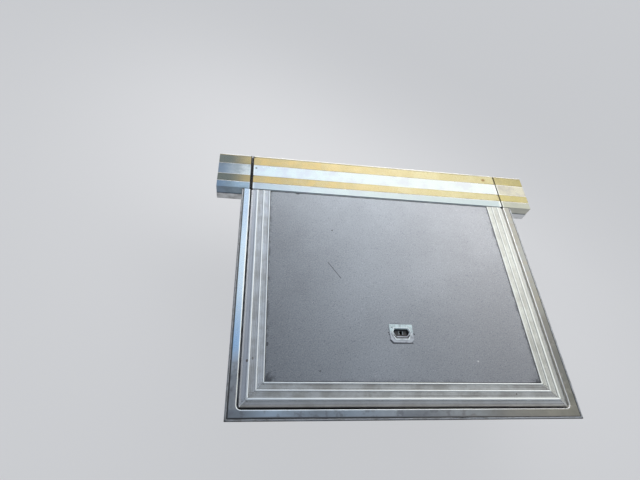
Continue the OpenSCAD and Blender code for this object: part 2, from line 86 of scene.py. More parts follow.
class Signal:
    """A number, colour or vector that a shader node gives. Signals and plain numbers are added, subtracted,
    multiplied, divided and compared as in arithmetic, each time by a Math node."""

    def __init__(self, socket):
        self.socket = socket
        self.tree = socket.id_data
        self.parts = None

    def __add__(self, other):
        return maths("ADD", self, other)

    def __radd__(self, other):
        return maths("ADD", other, self)

    def __sub__(self, other):
        return maths("SUBTRACT", self, other)

    def __rsub__(self, other):
        return maths("SUBTRACT", other, self)

    def __mul__(self, other):
        return maths("MULTIPLY", self, other)

    def __truediv__(self, other):
        return maths("DIVIDE", self, other)

    def __rtruediv__(self, other):
        return maths("DIVIDE", other, self)

    def __lt__(self, other):
        return maths("LESS_THAN", self, other)

    def __abs__(self):
        return maths("ABSOLUTE", self)

    def part(self, letter):
        """The X, Y or Z of a vector. All three come from one node, made when the first is asked for."""
        if self.parts is None:
            self.parts = add(self.tree, "SeparateXYZ", {0: self})
        return self.parts[letter]

    x = property(lambda self: self.part("X"))
    y = property(lambda self: self.part("Y"))
    z = property(lambda self: self.part("Z"))


class Outputs:
    """What a shader node gives: each output is a signal, found by its name or its number."""

    def __init__(self, node):
        self.node = node

    def __getitem__(self, key):
        return Signal(self.node.outputs[key])


def feed(node, sockets):
    """Gives each named socket of a node its number, its colour, its vector or a link from a signal."""
    for name, value in sockets.items():
        socket = node.inputs[name]
        if isinstance(value, Signal):
            value.tree.links.new(value.socket, socket)
        elif socket.type == "RGBA":
            socket.default_value = (*value, 1.0)
        else:
            socket.default_value = value


def add(tree, kind, sockets=None, **settings):
    """A new shader node in a tree, as its outputs. A setting is one of its properties."""
    node = tree.nodes.new("ShaderNode" + kind)
    for name, value in settings.items():
        setattr(node, name, value)
    feed(node, sockets or {})
    return Outputs(node)


def maths(operation, *values):
    """The result of one operation on some numbers, of which at least one is a signal."""
    tree = next(value.tree for value in values if isinstance(value, Signal))
    return add(tree, "Math", dict(enumerate(values)), operation=operation)[0]


def eased(value, low, high, start=0.0, end=1.0):
    """How far a value has gone from low to high, as a number that eases from start to end."""
    sockets = {"Value": value, "From Min": low, "From Max": high, "To Min": start, "To Max": end}
    return add(value.tree, "MapRange", sockets, interpolation_type="SMOOTHSTEP")["Result"]


def over(share, under, upper):
    """One colour laid over another by a share from 0 to 1."""
    return add(share.tree, "Mix", {0: share, 6: under, 7: upper}, data_type="RGBA")[2]


def noise(place, scale, detail, **sockets):
    """Smooth noise about 0.5 with so many waves a metre, and finer noise in it by its detail."""
    return add(place.tree, "TexNoise", {"Vector": place, "Scale": scale, "Detail": detail, **sockets})[0]


def spread(value, start, end):
    """Noise, which lies mostly from 0.3 to 0.7, eased to run from start to end."""
    return eased(value, 0.3, 0.7, start, end)


def vectors(operation, first, second=ORIGIN):
    """The result of one operation on two vectors, or on a vector and the number that it is scaled by."""
    tree = next(value.tree for value in (first, second) if isinstance(value, Signal))
    sockets = {0: first, ("Scale" if operation == "SCALE" else 1): second}
    outputs = add(tree, "VectorMath", sockets, operation=operation)
    return outputs["Value" if operation in ("DOT_PRODUCT", "DISTANCE") else "Vector"]


def group(name, takes, gives):
    """An empty shader node group with inputs, of a usual value each, and named outputs. Gives a function
    that uses it, its inputs and its output node."""
    tree = bpy.data.node_groups.new(name, "ShaderNodeTree")
    for label, value in takes.items():
        kind = "Float" if isinstance(value, float) else "Vector"
        socket = tree.interface.new_socket(label, in_out="INPUT", socket_type="NodeSocket" + kind)
        socket.default_value = value
    for label in gives:
        tree.interface.new_socket(label, in_out="OUTPUT", socket_type="NodeSocketFloat")

    def use(first, **sockets):
        """What the group gives for its first input and its others by name: its one output, or a list."""
        made = add(first.tree, "Group", {0: first, **sockets}, node_tree=tree)
        return made[0] if len(gives) == 1 else [made[label] for label in gives]

    return use, Outputs(tree.nodes.new("NodeGroupInput")), tree.nodes.new("NodeGroupOutput")


# Fine lines left by rolling or by the extruder's die: noise stretched far along one direction.
drawn_lines, taken, given = group("drawn lines", {"Place": ORIGIN, "Waves": ORIGIN}, ["Height"])
stretched = vectors("MULTIPLY", taken["Place"], taken["Waves"])
feed(given, {"Height": noise(stretched, 1.0, 4.0, Roughness=0.7)})

# Patches of dirt: broken noise of a size, cut off at a level, with a softness at its edge.
grime_takes = {"Place": ORIGIN, "Size": 0.05, "Level": 0.55, "Softness": 0.08}
grime, taken, given = group("grime", grime_takes, ["Mask"])
patches = noise(taken["Place"], 1.0 / taken["Size"], 7.0, Roughness=0.62)
patch_low = taken["Level"] - taken["Softness"]
patch_high = taken["Level"] + taken["Softness"]
feed(given, {"Mask": eased(patches, patch_low, patch_high)})

# Hairline scratches: the thin band in which a smooth noise passes its middle value, broken up by a
# second noise.
scuff_takes = {"Place": ORIGIN, "Size": 0.05, "Width": 0.004, "Level": 0.55}
scuffs, taken, given = group("scuffs", scuff_takes, ["Mask"])
pace = 1.0 / taken["Size"]
runs = noise(taken["Place"], pace, 1.0, Distortion=0.6)
line = eased(abs(runs - 0.5), taken["Width"], 0.0)
broken = noise(taken["Place"], pace * 2.3, 2.0)
kept = eased(broken, taken["Level"], taken["Level"] + 0.05)
feed(given, {"Mask": line * kept})


def material(name):
    """A new material, its Principled shader and, as a vector, the place on the object in metres."""
    made = bpy.data.materials.new(name)
    made.use_nodes = True
    tree = made.node_tree
    return made, tree.nodes["Principled BSDF"], add(tree, "TexCoord")["Object"]


def finish(shader, colour, rough, metal=0.0, height=None, relief=0.0001, normal=None):
    """Feeds a Principled shader, and roughens it by a height from 0 to 1 that stands for a relief in
    metres. The relief can lie on a normal of its own."""
    feed(shader, {"Base Color": colour, "Roughness": rough, "Metallic": metal})
    if height is not None:
        sockets = {"Height": height, "Distance": relief, "Strength": 1.0}
        if normal is not None:
            sockets["Normal"] = normal
        feed(shader, {"Normal": add(height.tree, "Bump", sockets)["Normal"]})


def mill_sheet(name, bright, dull, road_dirt):
    """Rolled aluminium sheet, left as it came from the mill, with dull blotches and a share of road
    dirt."""
    made, shader, place = material(name)
    rolled = drawn_lines(place, Waves=(6.0, 900.0, 900.0))
    blotches = grime(place, Size=0.14, Level=0.52, Softness=0.12)
    splashes = grime(place, Size=0.03, Level=0.66 - road_dirt, Softness=0.15)
    hairlines = scuffs(place, Size=0.07)
    metal = over(blotches, bright, dull)
    metal = over(hairlines * 0.5, metal, (0.85, 0.86, 0.88))
    dirt = splashes * 0.70
    colour = over(dirt, metal, (0.19, 0.17, 0.14))
    rough = spread(rolled, 0.32, 0.44) + dirt * 0.4
    finish(shader, colour=colour, metal=1.0 - dirt, rough=rough, height=rolled * 0.3 + dirt, relief=0.00012)
    return made


def dressed(node, finish_of, round_by=0.0):
    """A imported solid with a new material. Where its edges are rounded, a merged copy replaces it: doubled
    points are joined, flat neighbours become one face, a bevel of that width runs along each edge over 30
    degrees, and the normals follow the largest faces, so that flats shade flat."""
    solid = frame["nodes"][node]
    slot = next(part["material_slot"] for part in frame["record"]["subparts"] if part["node"] == node)
    if not round_by:
        solid.data.materials.clear()
        solid.data.materials.append(finish_of)
        return

    mesh = solid.data.copy()
    whole = bmesh.new()
    whole.from_mesh(mesh)
    bmesh.ops.remove_doubles(whole, verts=whole.verts, dist=1e-6)
    bmesh.ops.dissolve_limit(whole, angle_limit=math.radians(0.5), verts=whole.verts, edges=whole.edges)
    for face in whole.faces:
        face.smooth = True
        face.material_index = 0
    whole.to_mesh(mesh)
    whole.free()
    mesh.materials.clear()
    mesh.materials.append(finish_of)
    piece = bpy.data.objects.new(node + "_dressed", mesh)
    scene.collection.objects.link(piece)
    rounding = piece.modifiers.new("rounded edges", "BEVEL")
    rounding.width = round_by
    rounding.segments = 2
    rounding.limit_method = "ANGLE"
    rounding.angle_limit = math.radians(30)
    rounding.use_clamp_overlap = False
    flats = piece.modifiers.new("true flats", "WEIGHTED_NORMAL")
    flats.weight = 100
    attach(piece, solid["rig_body"])
    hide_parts(node)


def turns(count):
    """Even turns once round, in radians."""
    return np.linspace(0.0, 2.0 * math.pi, count, endpoint=False)


def ring(radius, count):
    """Points round a middle: the cosine and sine of even turns, times a radius, or times one for each."""
    turn = turns(count)
    return np.stack([radius * np.cos(turn), radius * np.sin(turn)], axis=-1)


def boss(outline, profile):
    """A grid of points for a closed form: the outline times each share, at each height, of a profile's
    (share, height) rows. A share of 0 closes it in a point."""
    share, height = np.array(profile).T
    flat = share[:, None, None] * outline
    return np.concatenate([flat, np.broadcast_to(height[:, None, None], flat.shape[:2] + (1,))], axis=-1)


def woven(grid, places=(ORIGIN,)):
    """Points and faces of copies of a grid, one at each place, each grid closed round in its second
    direction."""
    rows, count = grid.shape[:2]
    number = np.arange(rows * count).reshape(rows, count)
    number = np.hstack([number, number[:, :1]])
    faces = np.stack([number[:-1, :-1], number[:-1, 1:], number[1:, 1:], number[1:, :-1]], axis=-1)
    faces = faces.reshape(-1, 4)
    places = np.array(places, float)
    points = (grid.reshape(1, -1, 3) + places[:, None, :]).reshape(-1, 3)
    steps = np.arange(len(places))[:, None, None] * (rows * count)
    return points, (faces[None] + steps).reshape(-1, 4)


def new_piece(name, points, faces, finish_of, slot, body):
    """A smooth piece of a mesh that rides on a body: doubled points are joined and all faces turned
    outwards."""
    mesh = bpy.data.meshes.new(name)
    mesh.from_pydata(points.tolist(), [], faces.tolist())
    whole = bmesh.new()
    whole.from_mesh(mesh)
    bmesh.ops.remove_doubles(whole, verts=whole.verts, dist=1e-7)
    bmesh.ops.recalc_face_normals(whole, faces=whole.faces)
    for face in whole.faces:
        face.smooth = True
    whole.to_mesh(mesh)
    whole.free()
    mesh.materials.append(finish_of)
    piece = bpy.data.objects.new(name, mesh)
    scene.collection.objects.link(piece)
    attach(piece, body)


def dome(radius, height, rings=5):
    """Profile rows of a round head over a flat foot: shares follow the cosine of a quarter turn and heights
    its sine."""
    turn = np.linspace(0.0, math.pi / 2, rings)
    return [(0.0, 0.0)] + [(radius * math.cos(a), height * math.sin(a)) for a in turn]


channel_metal = mill_sheet("folded sheet", (0.58, 0.59, 0.60), (0.44, 0.45, 0.46), 0.10)
channels = ["channel_inner", "channel_middle", "channel_outer"]
for channel in channels:
    dressed(channel, channel_metal, 0.0006)

rivet_r = 0.0045
rivet_h = 0.0022
rivet_count = 7
rivet_in = 0.060
sheet_t = 0.0025
channel_low, channel_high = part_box("channel_middle")
rivet_x = np.linspace(channel_low.x + rivet_in, channel_high.x - rivet_in, rivet_count)
rivet_places = []
for channel in channels:
    low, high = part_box(channel)
    rivet_places += [(x, (low.y + high.y) / 2, high.z - sheet_t) for x in rivet_x]
rivet_heads = boss(ring(1.0, 16), [(share, -height) for share, height in dome(rivet_r, rivet_h)])
new_piece("channel_rivets", *woven(rivet_heads, rivet_places), channel_metal, "channel_sheet", "tray")

# Tray. It is one sheet of aluminium folded up on three sides and welded at its rounded corners,
# closed on the fourth side by the hinge beam. Its underside is splashed by the road.
tray_metal = mill_sheet("tray sheet", (0.64, 0.65, 0.66), (0.50, 0.51, 0.52), 0.12)
dressed("pan", tray_metal, 0.0006)

# Drain spouts. Each is a moulded plastic tube with a flange that is bonded into the tray's floor,
# and a hose is pushed on from below.


def dusty(name, colour, dust_colour, dustiness, skin_waves, rough, relief, detail=3.0, **patches):
    """Plastic, rubber or sealant: a fine skin with so many waves a metre, its roughness from a low to a high
    value, and patches of dust on it."""
    made, shader, place = material(name)
    skin = noise(place, skin_waves, detail)
    dust = grime(place, **patches) * dustiness
    finish(shader, colour=over(dust, colour, dust_colour), rough=spread(skin, *rough), height=skin,
           relief=relief)
    return made


black_plastic = dusty("black plastic", (0.025, 0.025, 0.027), (0.16, 0.14, 0.12), 0.35, 900.0, (0.42, 0.6),
                      0.00006, detail=2.0, Size=0.02, Level=0.56)
for spout in ("drain_spout_left", "drain_spout_right"):
    dressed(spout, black_plastic, 0.0004)

# Recess floor. A tread sheet with pressed bars lies between rubber strips, which carry the plate
# when it is folded in. Feet and wheels cross it when the ramp is out, so its bars are rubbed bright.


def largest(first, *others):
    """The largest of some numbers."""
    for other in others:
        first = maths("MAXIMUM", first, other)
    return first


def between(share, start, end):
    """A number that eases from start, where a share is 0, to end, where it is 1."""
    return eased(share, 0.0, 1.0, start, end)


tread_low, tread_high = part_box("recess_tread")
tread_top = tread_high.z
bar_half_l = 0.0135
bar_half_w = 0.0034
bar_h = 0.0011
bar_pitch = 0.030
tread_metal, shader, place = material("tread sheet")
rolled = drawn_lines(place, Waves=(5.0, 700.0, 700.0))
dirt = grime(place, Size=0.05, Level=0.50, Softness=0.10)
raised = eased(place.z, tread_top + bar_h * 0.45, tread_top + bar_h)
from_wall = tread_high.x - abs(place.x)
# Partly dirt, partly painted shade: the sheet is painted dark near the recess walls, under the gaps round
# the plate.
dirt = largest(dirt * between(raised, 0.85, 0.12), eased(from_wall, 0.022, 0.008, 0.0, 0.95))
metal = over(raised, (0.46, 0.47, 0.48), (0.78, 0.79, 0.80))
hairlines = scuffs(place, Size=0.03, Width=0.006, Level=0.5)
metal = over(hairlines * 0.6, metal, (0.80, 0.81, 0.82))
finish(shader, colour=over(dirt, metal, (0.12, 0.105, 0.085)), metal=0.65 - dirt * 0.6,
       rough=between(raised, 0.42, 0.28) + dirt * 0.35, height=rolled * 0.25 + dirt)
dressed("recess_tread", tread_metal, 0.0004)


def lens(half_length, half_width, turned, count=16):
    """A pointed oval: its half width falls with the square of the way to its tip. It is turned by an
    angle."""
    turn = turns(count)
    along = half_length * np.cos(turn)
    across = half_width * np.sign(np.sin(turn)) * (1.0 - np.cos(turn) ** 2)
    return np.stack([along * math.cos(turned) - across * math.sin(turned),
                     along * math.sin(turned) + across * math.cos(turned)], axis=-1)


bar_profile = [(0.0, -0.0002), (1.0, -0.0002), (0.92, bar_h * 0.55), (0.70, bar_h * 0.9), (0.0, bar_h)]
bar_x = np.arange(tread_low.x + bar_pitch * 0.8, tread_high.x - bar_pitch * 0.7, bar_pitch)
bar_y = np.arange(tread_low.y + bar_pitch * 0.8, tread_high.y - bar_pitch * 0.7, bar_pitch)
drain_keep = 0.030
drains = [sum(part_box(spout), Vector()) / 2 for spout in ("drain_spout_left", "drain_spout_right")]
bar_ways = (("tread_bars_right", math.radians(45)), ("tread_bars_left", math.radians(-45)))
for way, (name, turned) in enumerate(bar_ways):
    spots = [(x, y, tread_top) for i, x in enumerate(bar_x) for j, y in enumerate(bar_y)
             if (i + j) % 2 == way and min(math.hypot(x - d.x, y - d.y) for d in drains) > drain_keep]
    bars = boss(lens(bar_half_l, bar_half_w, turned), bar_profile)
    new_piece(name, *woven(bars, spots), tread_metal, "tread_sheet", "tray")

# Rest strips. Three lengths of soft black rubber are glued to the tray, along both sides and the
# inner end of the tread sheet, and the plate lies on them.
rubber = dusty("black rubber", (0.018, 0.018, 0.019), (0.15, 0.135, 0.12), 0.45, 1400.0, (0.62, 0.82),
               0.00012, Size=0.025, Level=0.50, Softness=0.12)
dressed("rest_strips", rubber, 0.0008)

# Hinge beam. An extruded aluminium beam closes the tray under the sill, carries the fixed knuckles
# on its outer edge and is grooved on top for grip. Cap screws go down through it into the vehicle.


def smallest(first, *others):
    """The smallest of some numbers."""
    for other in others:
        first = maths("MINIMUM", first, other)
    return first


beam_metal, shader, place = material("beam extrusion")
lines = drawn_lines(place, Waves=(5.0, 1500.0, 1500.0))
stain = grime(place, Size=0.09, Level=0.54, Softness=0.12)
specks = grime(place, Size=0.006, Level=0.68, Softness=0.03)
hairlines = scuffs(place, Size=0.05, Width=0.005, Level=0.5)
metal = over(stain, (0.66, 0.67, 0.68), (0.48, 0.48, 0.47))
metal = over(hairlines * 0.45, metal, (0.90, 0.91, 0.92))
dirt = smallest(specks * 0.55 + stain * 0.45, 1.0)
finish(shader, colour=over(dirt, metal, (0.16, 0.145, 0.12)), metal=1.0 - dirt * 0.85,
       rough=spread(lines, 0.30, 0.42) + dirt * 0.3, height=lines * 0.4 + dirt * 0.5)
dressed("hinge_beam", beam_metal, 0.0004)

# Gasket and sealing bead. A flat gasket of black rubber lies under the rim. The joint with the floor
# round it is closed by a bead of grey sealant run by hand, so its width and height wander a little.
dressed("rim_gasket", rubber, 0.0004)
gasket_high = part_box("rim_gasket")[1]
rim_low, rim_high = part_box("rim_flange")
bead_half_w = 0.0024
bead_half_h = 0.0009
bead_step = 0.006
bead_corner = 0.004


def rim_path(inset, corner, step):
    """Points every step along the rim's outer edge, set out by an inset: down the left side, round two
    corners of a radius and up the right side. Each straight is divided evenly and each corner is a quarter
    circle."""
    x = rim_high.x + inset
    y = rim_low.y - inset
    turn = np.linspace(0.0, math.pi / 2, 6)[1:-1]
    side = np.linspace(rim_high.y, y + corner, int((rim_high.y - y) / step))
    foot = np.linspace(-x + corner, x - corner, int(2 * x / step))
    left = np.stack([np.full_like(side, -x), side], -1)
    turned = np.stack([-x + corner - corner * np.cos(turn), y + corner - corner * np.sin(turn)], -1)
    bottom = np.stack([foot, np.full_like(foot, y)], -1)
    half = np.concatenate([left, turned, bottom[:len(foot) // 2]])
    return np.concatenate([half, half[::-1] * (-1.0, 1.0)])


def swept(path, half_width, half_height, level, sides=10):
    """A tube along a flat path: each ring is an ellipse square to the path, with its own half width and
    height, and the first and last rings shrink to a point."""
    ahead = np.gradient(path, axis=0)
    ahead /= np.linalg.norm(ahead, axis=1)[:, None]
    across = np.stack([-ahead[:, 1], ahead[:, 0]], -1)
    turn = turns(sides)
    closing = np.ones(len(path))
    closing[[0, -1]] = 0.0
    wide = (half_width * closing)[:, None, None] * np.cos(turn)[None, :, None]
    flat = path[:, None, :] + across[:, None, :] * wide
    high = level + (half_height * closing)[:, None] * np.sin(turn)[None, :]
    return np.concatenate([flat, high[..., None]], axis=-1)


def wandering(count, smooth):
    """Gentle random change along a line: random numbers averaged over a stretch and scaled to about 1."""
    rough = chance.normal(size=count + smooth)
    kernel = np.hanning(smooth + 1)
    return np.convolve(rough, kernel / np.sqrt((kernel ** 2).sum()), "valid")[:count]


sealant = dusty("sealant", (0.40, 0.42, 0.45), (0.24, 0.24, 0.23), 0.7, 500.0, (0.55, 0.75), 0.0002,
                Size=0.02, Level=0.53, Softness=0.10)
bead_path = rim_path(bead_half_w, bead_corner, bead_step)
bead_width = bead_half_w * (1.0 + 0.10 * wandering(len(bead_path), 7))
bead_height = bead_half_h * (1.0 + 0.12 * wandering(len(bead_path), 5))
bead = swept(bead_path, bead_width, bead_height, gasket_high.z)
new_piece("sealing_bead", *woven(bead), sealant, "seal_rubber", "tray")

# Rim. A stainless steel angle frames the recess, its inner edge bevelled and its inner corners bent round.
# Soles have brushed it, and wet dirt has dried on it, most of all at the right corner, where the tan is
# partly a painted reflection of a beige cover beside it. It also carries a painted sky reflection, painted
# highlights and painted shade in the gap.
rim_steel, shader, place = material("rim steel")
brushed_x = drawn_lines(place, Waves=(9.0, 1800.0, 1800.0))
brushed_y = drawn_lines(place, Waves=(1800.0, 9.0, 1800.0))
rim_w = 0.022
recess_end = rim_low.y + rim_w
inner_side = eased(place.y, recess_end, recess_end + 0.001)
brushed = brushed_y * inner_side + brushed_x * (1.0 - inner_side)
film = grime(place, Size=0.11, Level=0.52, Softness=0.16)
crust = grime(place, Size=0.018, Level=0.58, Softness=0.08)
hairlines = scuffs(place, Size=0.035, Width=0.006, Level=0.48)
from_out = smallest(rim_high.x - abs(place.x), place.y - rim_low.y)
depth = rim_high.z - place.z
right = eased(place.x, -0.05, 0.46)
inner_half = eased(place.y, 0.10, -0.36)
ragged = from_out - crust * 0.004
outer_line = eased(ragged, 0.0095, 0.0035) * eased(place.y, recess_end + 0.02, recess_end)
border = eased(from_out - eased(place.x, -0.46, 0.46, 0.0036, 0.0020), 0.0007, -0.0007)
left_corner = eased(place.x, -0.36, -0.45) * eased(place.y, -0.18, -0.33)
# Where the left side carries a painted reflection of the sky, and less dirt so that it shows.
left_sky_reflection = eased(place.x, -0.42, -0.453) * eased(place.y, -0.25, -0.17)
painted_right_shade = eased(place.x, 0.42, 0.453) * eased(place.y, -0.04, -0.10) * eased(place.y, -0.34, -0.24)
bottom = eased(place.y, recess_end + 0.002, recess_end - 0.002)
bottom_film = eased(abs(place.x + 0.13), 0.33, 0.10, 0.10, 0.36)
dirt = film * 0.20 + crust * 0.20 + right * between(inner_half, 0.74, 0.78)
dirt = dirt + inner_half * 0.26 + left_corner * 0.45
dirt = dirt * (1.0 - left_sky_reflection * 0.8) + bottom * bottom_film
lip = eased(depth, 0.0002, 0.0014)
dirt = smallest(largest(dirt, outer_line * 0.92) * (1.0 - lip), 0.92)
# Painted shade: the walls deep in the gap round the plate, and on the left half everything below 2 mm, are
# painted near-black. The outermost 2 to 3.6 mm of the flange (border) are darkened as well.
wall_foot = eased(depth, 0.0045, 0.0085) * eased(place.x, 0.4515, 0.4500)
left_wall = eased(depth, 0.0018, 0.0026) * eased(place.x, 0.0, -0.1)
painted_gap_shade_and_border = largest(largest(wall_foot, left_wall) * 0.95, border * 0.88)
painted_edge_highlight = eased(from_out, 0.0022, 0.0010) * eased(right, 0.6, 0.0)
steel = over(film, (0.86, 0.91, 0.97), (0.66, 0.73, 0.82))
# Painted reflection: the left side and the left end of the bottom are tinted bright sky blue, standing in
# for the sky mirrored in the steel.
painted_sky_reflection = over(eased(place.y, 0.02, -0.24), (0.88, 0.96, 1.0), (0.46, 0.70, 1.0))
painted_sky_reflection = over(eased(place.y, 0.12, 0.28), painted_sky_reflection, (0.70, 0.78, 0.86))
steel = over(left_sky_reflection, steel, painted_sky_reflection)
steel = over(bottom * eased(place.x, 0.05, -0.20), steel, (0.66, 0.82, 1.0))
steel = over(hairlines * 0.4, steel, (0.90, 0.92, 0.95))
# Painted highlight: the bevelled lip and a strip along the outer edge are laid near-white, partly clean worn
# steel and partly the light they catch.
steel = over(largest(painted_edge_highlight, lip), steel, (0.97, 0.97, 0.96))
# Painted light: the upper part of the right wall in the gap is painted pale and matt, so that it shows as
# lit.
painted_lit_wall = eased(depth, 0.0018, 0.0024) * eased(place.x, 0.4495, 0.4510)
steel = over(painted_lit_wall, steel, (0.96, 0.94, 0.87))
# The tan caked dirt on the right is partly a painted reflection of a beige cover beside it.
caked = over(largest(film, crust), (0.22, 0.21, 0.16), (0.38, 0.345, 0.275))
settled = over(right, (0.19, 0.20, 0.22), caked)
# Painted shade: a darker stretch along the right side.
settled = over(painted_right_shade * 0.45, settled, (0.12, 0.12, 0.12))
matt = largest(dirt, painted_gap_shade_and_border, lip * between(right, 0.3, 1.0), painted_lit_wall)
finish(shader, colour=over(painted_gap_shade_and_border, over(dirt, steel, settled), (0.02, 0.02, 0.022)),
       metal=1.0 - matt * 0.9, rough=spread(brushed, 0.22, 0.34) + matt * 0.35,
       height=brushed * 0.35 + dirt * 0.6)
dressed("rim_flange", rim_steel, 0.0005)

# Fixed ends of the sill. They are cut from the same hollow extrusion as the moving sill, so that the two
# grit strips run on through the doorway. Fewer soles reach the left one, and more dirt stays on it; it also
# carries painted shade, deepest far to the left. The right one's warm tan is partly a painted reflection of
# a beige cover beside it.
sill_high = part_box("ramp_sill")[1]
grit_low, grit_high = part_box("ramp_sill_grit")
sill_waves = (4.0, 1300.0, 1300.0)


def sill_finish(name, clean, stained, inner_tone_and_reflection, film, speckled):
    """The sill's extrusion: the die's lines along it, stains and a film of dirt, hairline scratches, and
    bright lips, partly worn and partly a painted highlight, with tan dirt where they meet the grit. Inside
    the inner strip it has a tone that is partly a painted reflection, and towards the far left it has
    painted shade. The cut faces at its joints are painted black as shade in the joint, and at the left joint
    a painted black line of shade shows from above."""
    made, shader, place = material(name)
    lines = drawn_lines(place, Waves=sill_waves)
    stain = grime(place, Size=0.06, Level=0.54, Softness=0.12)
    specks = grime(place, Size=0.006, Level=0.70, Softness=0.02)
    hairlines = scuffs(place, Size=0.04, Width=0.006, Level=0.5)
    depth = sill_high.z - place.z
    lip_wear_and_highlight = eased(depth, 0.00035, 0.00015)
    from_joint = abs(place.x) - sill_high.x
    by_joint = eased(abs(from_joint), 0.012, 0.003)
    nosing = eased(place.y, grit_high.y + 0.0030, grit_high.y + 0.0042)
    beside_grit = eased(abs(place.y - (grit_high.y + 0.0016)), 0.0027, 0.0015)
    # Painted highlight: the top lips and the nosing are laid near-white, partly worn metal and partly the
    # light along these edges.
    worn_edge_highlight = largest(lip_wear_and_highlight, nosing) * (1.0 - beside_grit)
    worn = largest(worn_edge_highlight, by_joint * 0.7)
    # Painted shade: the cut faces deep in the joints are painted black, and at the left joint a black line
    # widens it on top.
    cut_face_shade = eased(abs(from_joint), 0.0055, 0.0045) * eased(depth, 0.0010, 0.0022)
    joint_shade_line = eased(abs(from_joint - 0.002), 0.0055, 0.0047) * eased(place.x, 0.1, -0.1)
    cut_face_shade = largest(cut_face_shade, joint_shade_line)
    metal = over(stain * 0.8, clean, stained)
    # Inside the inner strip the metal takes a tone that is partly a painted reflection, and it grows
    # stronger towards the right.
    inside = eased(place.y, 0.376, 0.372)
    metal = over(inside * eased(place.x, -0.30, 0.40, 0.40, 1.0), metal, inner_tone_and_reflection)
    # Painted shade: the inner strip darkens towards the left, and the left end is painted a cold dark tone
    # far from its joint.
    painted_left_shade = inside * eased(place.x, -0.20, -0.46, 0.0, 0.26)
    painted_left_shade = largest(painted_left_shade, eased(place.x, -0.470, -0.560, 0.0, 0.85))
    metal = over(painted_left_shade, metal, (0.19, 0.25, 0.33))
    metal = over(hairlines * 0.45, metal, (0.66, 0.68, 0.71))
    metal = over(worn, metal, (0.97, 0.97, 0.96))
    dirt = (specks * speckled + stain * film) * (1.0 - worn)
    metal = over(dirt, metal, (0.22, 0.23, 0.22))
    metal = over(beside_grit * 0.8, metal, (0.42, 0.37, 0.24))
    dirt = largest(dirt, cut_face_shade, beside_grit * 0.8)
    finish(shader, colour=over(cut_face_shade, metal, (0.02, 0.02, 0.022)),
           metal=0.95 - largest(dirt, worn_edge_highlight) * 0.8,
           rough=spread(lines, 0.26, 0.38) + dirt * 0.3, height=lines * 0.4 + dirt * 0.4)
    return made


# The inner tones below are partly painted reflections: sky blue on the left end, and tan from a beige cover
# on the right end.
left_end_metal = sill_finish("left sill end", (0.74, 0.75, 0.72), (0.46, 0.52, 0.55),
                             inner_tone_and_reflection=(0.15, 0.42, 0.66), film=0.30, speckled=0.5)
right_end_metal = sill_finish("right sill end", (0.69, 0.65, 0.54), (0.60, 0.55, 0.50),
                              inner_tone_and_reflection=(0.53, 0.53, 0.46), film=0.20, speckled=0.5)
dressed("sill_end_left", left_end_metal, 0.0004)
dressed("sill_end_right", right_end_metal, 0.0004)

strip_in_w = 0.0305
strip_out_w = 0.0355

# A mark on a piece: 1 along the straight line between two points, in X and Y, and 0 from half its width
# outwards.
mark_takes = {"Place": ORIGIN, "Start": ORIGIN, "End": ORIGIN, "Width": 0.002}
mark, taken, given = group("mark", mark_takes, ["Mask"])
level = vectors("MULTIPLY", taken["Place"], (1.0, 1.0, 0.0))
reach = vectors("SUBTRACT", taken["End"], taken["Start"])
offset = vectors("SUBTRACT", level, taken["Start"])
share = vectors("DOT_PRODUCT", offset, reach) / largest(vectors("DOT_PRODUCT", reach, reach), 1e-9)
foot = vectors("SCALE", reach, smallest(largest(share, 0.0), 1.0))
half = taken["Width"] * 0.5
feed(given, {"Mask": eased(vectors("DISTANCE", offset, foot), half, half * 0.6)})


def marks(place, rows):
    """The strongest of several marks, given as rows of start, end, width and strength, in metres."""
    strongest = 0.0
    for start, end, width, strength in rows:
        one = mark(place, Start=(*start, 0.0), End=(*end, 0.0), Width=width)
        strongest = largest(strongest, one * strength)
    return strongest


def grit(name, grain_colour, pale, dark, wear, grain_size=0.0011):
    """A coat of sharp grains in a coloured resin: raised cells of a size, paler on their tops and darker
    between them, with worn patches and trodden-in dirt. Gives the material, its shader, the place, colour
    and grain."""
    made, shader, place = material(name)
    cells = add(place.tree, "TexVoronoi", {"Vector": place, "Scale": 1.0 / grain_size})
    grain = eased(cells["Distance"], 0.75, 0.1)
    bare = grime(place, Size=0.05, Level=0.60 - wear, Softness=0.08)
    trodden = grime(place, Size=0.015, Level=0.60, Softness=0.09)
    colour = over(eased(cells["Color"].x, 0.2, 1.0, 0.0, 0.5), grain_colour, pale)
    colour = over(bare * 0.45, colour, pale)
    hollow = (1.0 - grain) * 0.38
    colour = over(largest(hollow, trodden * 0.40), colour, dark)
    return made, shader, place, colour, grain


def rough_coat(coat):
    """Feeds the shader of a grit coat whose colour is made, and gives its material."""
    made, shader, place, colour, grain = coat
    finish(shader, colour=colour, rough=between(grain, 0.85, 0.6), height=grain, relief=0.0004)
    return made


